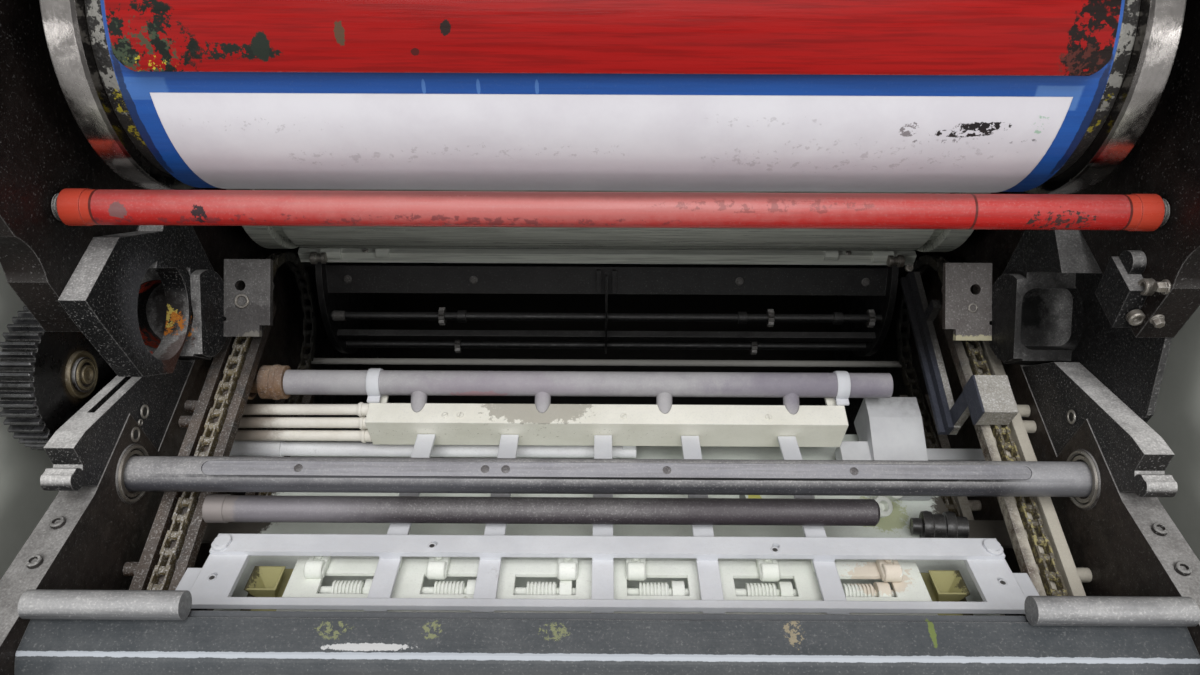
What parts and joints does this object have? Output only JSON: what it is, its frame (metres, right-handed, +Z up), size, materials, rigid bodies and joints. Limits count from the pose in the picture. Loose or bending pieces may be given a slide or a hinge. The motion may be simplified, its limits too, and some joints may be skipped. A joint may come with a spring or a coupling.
{
  "type": "offset printing press unit with open delivery bay",
  "caption": "Last printing unit of a sheet-fed offset press with its open delivery bay: cylinders, red guard, delivery drum, gripper chains, cross shafts and slatted sheet guide.",
  "frame": {"origin": "middle of the floor area under the machine", "axes": "+Z up, +Y from the operator towards the cylinders, +X across the press to the right"},
  "size_m": [1.158, 0.9, 1.64],
  "materials": {
    "cast_frame": "dark oily casting with pale powder on its upper edges",
    "base_paint": "dark grey paint",
    "cover_paint": "pale grey satin paint, dusty",
    "beam_paint": "dark blue-grey paint, worn along its edge",
    "red_paint": "deep red gloss paint, chipped",
    "orange_red_paint": "orange-red paint, powdered and chipped",
    "worn_steel": "bare steel, dusty and stained",
    "rail_steel": "brown and beige grimy rail",
    "chain_steel": "greasy chain with yellow residue",
    "dusty_steel": "steel shaft under grey powder",
    "white_paint": "metal under white powder",
    "cream_paint": "cream paint under white powder",
    "white_plastic": "ribbed rollers under white powder",
    "perished_rubber": "perished brown rubber",
    "hose_plastic": "white hose",
    "gear_iron": "black greasy gear with bright teeth",
    "cylinder_steel": "silver-green cylinder surface",
    "bearer_chrome": "polished ring with fine scratches",
    "blanket_rubber": "blue rubber blanket",
    "white_sheet": "white sheet with ink smudges",
    "drum_iron": "black drum with dusty rods"
  },
  "bodies": {
    "root": {"left_side_frame": "cast_frame", "right_side_frame": "cast_frame", "base_frame": "base_paint", "front_panel": "cover_paint", "front_crossbeam": "beam_paint", "upper_housing": "cover_paint", "rear_cover": "cover_paint", "left_outer_cover": "cover_paint", "right_outer_cover": "cover_paint", "cylinder_guard": "red_paint", "safety_bar": "orange_red_paint", "left_bearing_block": "cast_frame", "right_bearing_block": "cast_frame", "left_bracket_arm": "cast_frame", "right_bracket_arm": "cast_frame", "left_mounting_plate": "worn_steel", "right_mounting_plate": "worn_steel", "left_chain_rail": "rail_steel", "right_chain_rail": "rail_steel", "left_chain": "chain_steel", "right_chain": "chain_steel", "gripper_bar": "dusty_steel", "air_tube": "white_paint", "tube_coupling": "perished_rubber", "air_box": "cream_paint", "air_hoses": "hose_plastic", "support_bar": "white_paint", "slotted_shaft": "dusty_steel", "shaft_key_strip": "worn_steel", "lower_shaft": "dusty_steel", "guide_ladder": "white_paint", "suction_channel": "cream_paint", "suction_rollers": "white_plastic", "guide_plate": "white_paint", "side_duct": "white_paint", "cam_bar": "worn_steel", "corner_rollers": "worn_steel", "gear_bracket": "cast_frame"},
    "blanket_unit": {"blanket_cylinder": "cylinder_steel", "bearer_rings": "bearer_chrome", "blanket": "blanket_rubber", "cover_sheet": "white_sheet"},
    "impression_unit": {"impression_cylinder": "cylinder_steel"},
    "drum_unit": {"delivery_drum": "drum_iron", "star_wheels": "drum_iron"},
    "idler_unit": {"idler_gear": "gear_iron"}
  },
  "joints": [
    {"name": "blanket_spin", "type": "hinge", "parent": "root", "child": "blanket_unit", "pos_m": [0, 0.067, 1.231], "axis": [1, 0, 0], "continuous": true},
    {"name": "impression_spin", "type": "hinge", "parent": "root", "child": "impression_unit", "pos_m": [0, 0.23548, 0.99128], "axis": [1, 0, 0], "continuous": true},
    {"name": "drum_spin", "type": "hinge", "parent": "root", "child": "drum_unit", "pos_m": [0, 0.29671, 0.70322], "axis": [1, 0, 0], "continuous": true},
    {"name": "idler_spin", "type": "hinge", "parent": "root", "child": "idler_unit", "pos_m": [0, -0.151, 0.995], "axis": [1, 0, 0], "continuous": true}
  ],
  "couplings": [
    {"joint": "impression_spin", "follows": "blanket_spin", "ratio": -1},
    {"joint": "drum_spin", "follows": "blanket_spin", "ratio": 1}
  ]
}
